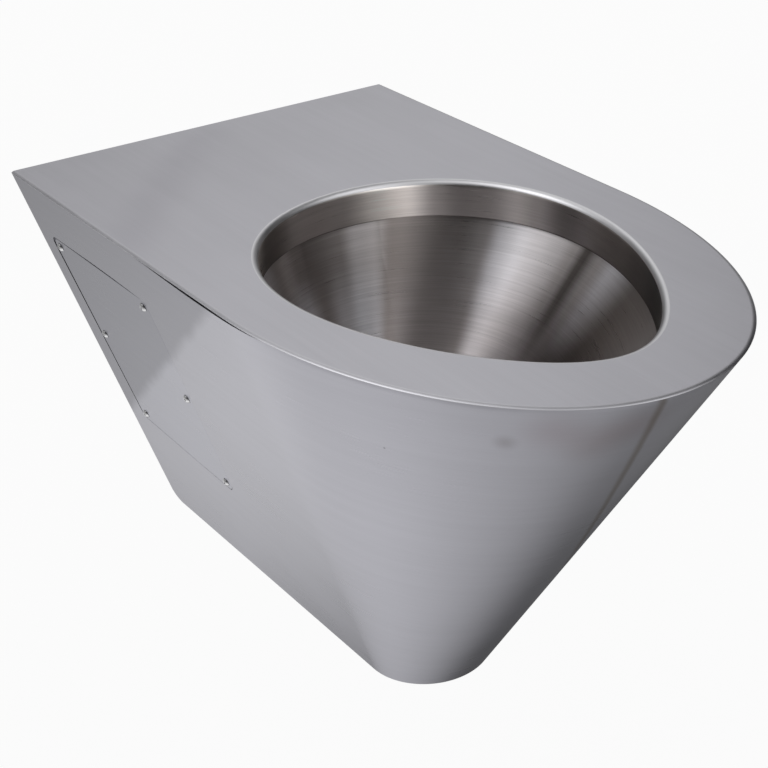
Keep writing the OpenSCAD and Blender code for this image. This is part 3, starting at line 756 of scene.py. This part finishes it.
# Places of a panel's screws, in two columns: forward and up the side
def screwSpots():
    p = panelLook
    high = p["top"] + p["screwInset"]
    rearLow = p["foot"] - p["screwInset"]
    frontLow = p["foot"] + p["footDrop"] - p["screwInset"]
    spots = []
    for k in range(p["screwRows"]):
        share = k / (p["screwRows"] - 1)
        rearColumn = p["rear"] + p["rearLean"] * share + p["screwInset"]
        spots.append(Vector((rearColumn, -high - (rearLow - high) * share)))
        spots.append(Vector((p["front"] - p["screwInset"], -high - (frontLow - high) * share)))
    return spots


def makePanel(side, name, body, node):
    bm = bmesh.new()
    outline = ringOf(bm, [sidePoint(side, p.x, p.y) for p in panelOutline()])
    edges = rowEdges(bm, outline, True)
    for spot in screwSpots():
        hole = ringOf(bm, sideCircle(side, spot, panelLook["holeRadius"], panelLook["holeSteps"]))
        edges += rowEdges(bm, hole, True)
    normal = sideNormal(side)
    bmesh.ops.triangle_fill(bm, use_beauty=True, edges=edges, normal=normal)
    bm.faces.ensure_lookup_table()
    faceAway(bm, bm.faces[0], Vector((0, -pan["sideLength"] / 2, 0)))
    front = bm.faces[:]
    bmesh.ops.solidify(bm, geom=front, thickness=panelLook["thickness"])
    rim = [e for e in bm.edges if len(e.link_faces) == 2 and e.calc_face_angle() > 1
           and sum(f.normal.dot(normal) > 0.9 for f in e.link_faces) == 1]
    bmesh.ops.bevel(bm, geom=rim, offset=panelLook["edgeBreak"], offset_type="OFFSET", segments=2,
                    profile=0.5, affect="EDGES", clamp_overlap=True, material=-1)
    return pieceFrom(bm, name, body, [panelSteel], [node])


# Body: side sheets and nose in one wrap, with a hole for a panel in each side

bodyLook = {
    "heelSteps": 10,
    "groove": 0.0010,         # the sheet dips in under the deck's bent edge, round the nose
    "grooveHeight": 0.0012,
    "grooveFrom": 0.33,       # distance from the wall where it begins, and the way to its full depth
    "grooveRun": 0.08,
    "grooveWaves": (310, 173),
    "noseLevels": 8,
    "openFrom": 0.185,        # the left seam stands open between these distances from the wall
    "openTo": 0.362,
    "openGap": 0.0028,
    "openShape": 1.5,
    "openSteps": 24,
}


# Depth of the groove under the deck's edge at a point, a little uneven
def grooveDepth(point):
    front = min(max((-point.y - bodyLook["grooveFrom"]) / bodyLook["grooveRun"], 0), 1)
    quick, slow = bodyLook["grooveWaves"]
    uneven = 0.75 + 0.25 * math.sin(point.x * quick) * math.cos(point.x * slow + 1)
    return bodyLook["groove"] * front * uneven


# How far the sheet's top edge drops below the deck's bent edge at a point
def openSeam(point):
    along = (-point.y - bodyLook["openFrom"]) / (bodyLook["openTo"] - bodyLook["openFrom"])
    if point.x > 0 or not 0 < along < 1:
        return 0.0
    return bodyLook["openGap"] * math.sin(math.pi * along) ** bodyLook["openShape"]


def sideAtHeight(side, forward, z):
    return sidePoint(side, forward, (z - pan["deckTop"]) / math.cos(sideTilt))


# Edge of a side sheet: down to the base, round the heel, up the wall and forward along the seam
def sideOutline(side, seamZ, levels):
    heel = pan["heelRadius"]
    corner = casingPoint(0 if side > 0 else -math.pi, seamZ)
    heights = [seamZ - openSeam(corner)] + levels
    outline = [sideAtHeight(side, pan["sideLength"], z) for z in heights]
    for k in range(bodyLook["heelSteps"] + 1):
        angle = math.pi / 2 * k / bodyLook["heelSteps"]
        z = baseZ + heel - heel * math.cos(angle)
        outline.append(sideAtHeight(side, heel - heel * math.sin(angle), z))
    for k in range(bodyLook["openSteps"]):
        forward = pan["sideLength"] * k / bodyLook["openSteps"]
        drop = openSeam(Vector((side, -forward, 0)))
        outline.append(sideAtHeight(side, forward, seamZ - drop))
    return outline


def makeBody():
    seamZ = pan["deckTop"] - deckLook["skirt"]
    grooveZ = seamZ - bodyLook["grooveHeight"] - bodyLook["openGap"]
    count = bodyLook["noseLevels"]
    levels = [grooveZ + (baseZ - grooveZ) * k / count for k in range(count + 1)]
    steps = deckLook["noseSteps"]
    turns = [-math.pi * k / steps for k in range(steps + 1)]
    bm = bmesh.new()
    topRow = []
    for turn in turns:
        point = casingPoint(turn, seamZ)
        topRow.append(casingPoint(turn, seamZ - openSeam(point), grooveDepth(point)))
    row = rowOf(bm, topRow)
    for height in levels:
        row = pullRow(bm, row, [casingPoint(turn, height) for turn in turns], False)
    for side in (-1, 1):
        edges = rowEdges(bm, ringOf(bm, sideOutline(side, seamZ, levels)), True)
        hole = [sidePoint(side, p.x, p.y) for p in panelOutline(isHole=True)]
        edges += rowEdges(bm, ringOf(bm, hole), True)
        bmesh.ops.triangle_fill(bm, use_beauty=True, edges=edges, normal=sideNormal(side))
    bmesh.ops.remove_doubles(bm, verts=bm.verts[:], dist=1e-5)
    bm.faces.ensure_lookup_table()
    faceAway(bm, bm.faces[0], Vector((0, -pan["sideLength"], 0)))
    bmesh.ops.solidify(bm, geom=bm.faces[:], thickness=pan["sheet"])
    return pieceFrom(bm, "bodySheet", "pan", [sideSteel], ["body_shell"])


# Panel screws: domed heads with a hexagon socket

screwLook = {
    "shankRadius": 0.002,
    "length": 0.012,
    "tipShare": 0.8,          # radius of the tip over the shank's
    "tipChamfer": 0.0005,
    "headRadius": 0.0038,
    "headHeight": 0.0022,
    "headGap": 0.0001,
    "headRound": 0.0002,
    "domeShare": 0.985,       # share of the head's radius that the dome takes up
    "mouthShare": 1.15,       # radius of the socket's round mouth over the hexagon's
    "mouthDepth": 0.0001,
    "socketRadius": 0.0014,
    "socketDepth": 0.0011,
    "steps": 24,
    "domeSteps": 6,
}


# Radius and distance out of the side, from the screw's tip to the socket's mouth
def screwProfile():
    s = screwLook
    domeRadius = (s["headRadius"] ** 2 + s["headHeight"] ** 2) / (2 * s["headHeight"])
    domeCentre = s["headGap"] + s["headHeight"] - domeRadius
    profile = [
        (s["shankRadius"] * s["tipShare"], -s["length"]),
        (s["shankRadius"], -s["length"] + s["tipChamfer"]),
        (s["shankRadius"], s["headGap"]),
        (s["headRadius"] - s["headRound"], s["headGap"]),
        (s["headRadius"], s["headGap"] + s["headRound"]),
    ]
    widest = math.asin(s["headRadius"] / domeRadius * s["domeShare"])
    least = math.asin(s["socketRadius"] * s["mouthShare"] / domeRadius)
    for k in range(s["domeSteps"] + 1):
        angle = widest + (least - widest) * k / s["domeSteps"]
        profile.append((domeRadius * math.sin(angle), domeCentre + domeRadius * math.cos(angle)))
    return profile


# Points of the socket's hexagon, as many as the round mouth has
def sideHexagon(side, spot, radius, steps, out):
    flat = radius * math.cos(math.pi / 6)
    points = []
    for k in range(steps):
        a = 2 * math.pi * k / steps
        reach = flat / math.cos((a + math.pi / 6) % (math.pi / 3) - math.pi / 6)
        points.append(sidePoint(side, spot.x + reach * math.cos(a), spot.y + reach * math.sin(a), out))
    return points


def makeScrews(side, name, body, node):
    s = screwLook
    profile = screwProfile()
    mouthOut = profile[-1][1]
    bm = bmesh.new()
    for spot in screwSpots():
        rings = [sideCircle(side, spot, radius, s["steps"], out) for radius, out in profile]
        for depth in (s["mouthDepth"], s["socketDepth"]):
            rings.append(sideHexagon(side, spot, s["socketRadius"], s["steps"], mouthOut - depth))
        tip = ringOf(bm, rings[0])
        row = tip
        for ring in rings[1:]:
            row = pullRow(bm, row, ring, True)
        bmesh.ops.contextual_create(bm, geom=row)
        bmesh.ops.contextual_create(bm, geom=tip)
    bmesh.ops.recalc_face_normals(bm, faces=bm.faces[:])
    return pieceFrom(bm, name, body, [screwSteel], [node], sharpAngle=28)


makeDeck()
makeBowl()
makeBody()
for side, word in ((-1, "left"), (1, "right")):
    makePanel(side, "accessPanel" + word.capitalize(), word + "_panel", "access_panel_" + word)
    makeScrews(side, "panelScrews" + word.capitalize(), word + "_screws", "panel_screws_" + word)


# Finishes for the pieces that keep their own mesh

nodeFinish = {
    "base_sheet": sideSteel,
    "trap_saddle": plateSteel, "outlet_flange": plateSteel,
    "deck_pad": padRubber, "side_pad_left": padRubber, "side_pad_right": padRubber,
    "earth_tag": screwSteel, "earth_screw": screwSteel,
    "panel_nuts_left": screwSteel, "panel_nuts_right": screwSteel,
}
pipeStarts = ("trap_", "outlet_", "inlet_", "flush_pipe")
for name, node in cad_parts.items():
    otherwise = pipeSteel if name.startswith(pipeStarts) else plateSteel
    node.data.materials.clear()
    node.data.materials.append(nodeFinish.get(name, otherwise))
print("finishes set")


# Camera: the photograph's view, found from the casing's edges

view = {
    "place": (-0.6495, -1.1001, 0.5446),
    "yaw": 37.24,
    "pitch": 29.32,
    "roll": -0.51,
    "lens": 74.6,
}


def makeCamera():
    yaw, pitch, roll = (math.radians(view[k]) for k in ("yaw", "pitch", "roll"))
    ahead = Vector((math.sin(yaw) * math.cos(pitch), math.cos(yaw) * math.cos(pitch), -math.sin(pitch)))
    right = Vector((math.cos(yaw), -math.sin(yaw), 0))
    down = ahead.cross(right)
    rightRolled = right * math.cos(roll) + down * math.sin(roll)
    downRolled = down * math.cos(roll) - right * math.sin(roll)
    turn = Matrix((rightRolled, -downRolled, -ahead)).transposed()
    data = bpy.data.cameras.new("photoCamera")
    data.lens = view["lens"]
    data.sensor_width = 36
    data.clip_start = 0.05
    data.clip_end = 50
    camera = bpy.data.objects.new("photoCamera", data)
    camera.matrix_world = Matrix.Translation(view["place"]) @ turn.to_4x4()
    scene.collection.objects.link(camera)
    scene.camera = camera


makeCamera()
print("camera set")


# Studio: white floor and surround, with soft lamps and grey cards that the steel reflects

studio = {
    "floorZ": -0.62,
    "floorSize": 14,
    "floorTone": (0.86, 0.86, 0.86, 1),
    "floorWhite": 0.9,        # share of plain white where the floor is seen
    "surround": 0.8,          # plain level for the light that isn't reflected
    "centre": (0, -0.28, -0.05),
    "darkest": 0.03,
    # azimuth from the wall side, elevation and width in degrees, and the level added to the white
    "softShapes": [
        (-60, 57, 14, 1.8),       # lamps high on the left
        (-75, 42, 12, 1.2),
        (147, 46, 13, 1.2),       # lamps behind the camera
        (168, 30, 12, 0.5),
        (-160, 12, 18, 0.5),
        (-175, 5, 12, 1.5),
        (-128, 46, 12, 0.2),
        (-150, 72, 14, 0.4),
        (115, 50, 14, 0.6),
        (35, 38, 14, 0.9),        # lit sweep that the deck shows
        (-60, -60, 30, 0.42),     # pale floor on the left, by the wall and on the right
        (-10, -45, 14, 0.1),
        (-25, -35, 12, 0.3),
        (95, -45, 15, 0.45),
        (70, -15, 20, 0.5),
        (-130, 20, 35, -1.1),     # dark room round the camera
        (-130, -20, 30, -0.3),
        (180, -10, 20, -0.1),
        (0, 15, 22, -0.6),        # dark room on the other sides
        (90, 30, 35, -1.15),
        (-50, -10, 30, -0.65),
        (20, -25, 14, -0.45),     # grey cards low on the right
        (50, -50, 25, -1.15),
        (40, -70, 15, -0.65),
        (110, -40, 35, -0.7),
    ],
}


# Level of the surround in a direction: white, with the soft lamps and cards
def surroundLevel(tree, direction, at):
    x, y = at
    level = 1.0
    for k, (azimuth, elevation, width, gain) in enumerate(studio["softShapes"]):
        a, e = math.radians(azimuth), math.radians(elevation)
        towards = (math.sin(a) * math.cos(e), math.cos(a) * math.cos(e), math.sin(e))
        sharpness = 1 / math.radians(width) ** 2
        row = y - 160 * k
        near = dotOf(tree, direction, towards, (x, row))
        fall = addNode(tree, "ShaderNodeMath", (x + 180, row),
                       {0: near, 1: sharpness, 2: -sharpness}, operation="MULTIPLY_ADD")
        blob = mathOf(tree, "EXPONENT", fall.outputs[0], 0.0, (x + 360, row))
        shape = mathOf(tree, "MULTIPLY", blob, gain, (x + 540, row))
        level = mathOf(tree, "ADD", shape, level, (x + 720, row))
    return mathOf(tree, "MAXIMUM", level, studio["darkest"], (x + 900, y))


# 1 where the ray comes from the camera or through glass, and where it comes off metal
def rayKinds(tree):
    paths = addNode(tree, "ShaderNodeLightPath", (-600, 500)).outputs
    seen = mathOf(tree, "MAXIMUM", paths["Is Camera Ray"], paths["Is Transmission Ray"], (-400, 500))
    return seen, paths["Is Glossy Ray"]


def makeFloor():
    bm = bmesh.new()
    bmesh.ops.create_grid(bm, x_segments=4, y_segments=4, size=studio["floorSize"] / 2)
    bmesh.ops.translate(bm, verts=bm.verts[:], vec=(0, 0, studio["floorZ"]))
    mesh = bpy.data.meshes.new("studioFloor")
    bm.to_mesh(mesh)
    bm.free()
    floor = bpy.data.objects.new("studioFloor", mesh)
    scene.collection.objects.link(floor)
    material = newMaterial("studioFloor")
    tree = material.node_tree
    seen, glossy = rayKinds(tree)
    place = addNode(tree, "ShaderNodeNewGeometry", (-1900, 0)).outputs["Position"]
    away = addNode(tree, "ShaderNodeVectorMath", (-1700, 0),
                   {0: place, 1: studio["centre"]}, operation="SUBTRACT")
    towards = addNode(tree, "ShaderNodeVectorMath", (-1500, 0),
                      {0: away.outputs["Vector"]}, operation="NORMALIZE")
    level = surroundLevel(tree, towards.outputs["Vector"], (-1300, 0))
    strength = mixLevel(tree, glossy, 1.0, level, (-250, 0))
    white = addNode(tree, "ShaderNodeEmission", (0, 0), {"Color": (1, 1, 1, 1), "Strength": strength})
    pale = addNode(tree, "ShaderNodeBsdfDiffuse", (0, 200), {"Color": studio["floorTone"]})
    shown = mathOf(tree, "MAXIMUM", seen, glossy, (-200, 400))
    share = mathOf(tree, "MULTIPLY", shown, studio["floorWhite"], (0, 400))
    mix = addNode(tree, "ShaderNodeMixShader", (200, 200),
                  {0: share, 1: pale.outputs["BSDF"], 2: white.outputs["Emission"]})
    addNode(tree, "ShaderNodeOutputMaterial", (400, 200), {"Surface": mix.outputs["Shader"]})
    mesh.materials.append(material)


def makeSurround():
    world = bpy.data.worlds.new("studioSurround")
    scene.world = world
    world.use_nodes = True
    tree = world.node_tree
    tree.nodes.clear()
    seen, glossy = rayKinds(tree)
    direction = addNode(tree, "ShaderNodeTexCoord", (-1500, 0)).outputs["Generated"]
    level = surroundLevel(tree, direction, (-1300, 0))
    plain = mixLevel(tree, seen, studio["surround"], 1.0, (-200, 200))
    strength = mixLevel(tree, glossy, plain, level, (0, 200))
    background = addNode(tree, "ShaderNodeBackground", (200, 200),
                         {"Color": (1, 1, 1, 1), "Strength": strength})
    addNode(tree, "ShaderNodeOutputWorld", (400, 200), {"Surface": background.outputs["Background"]})


makeFloor()
makeSurround()
scene.view_settings.view_transform = "Standard"
print("studio set")
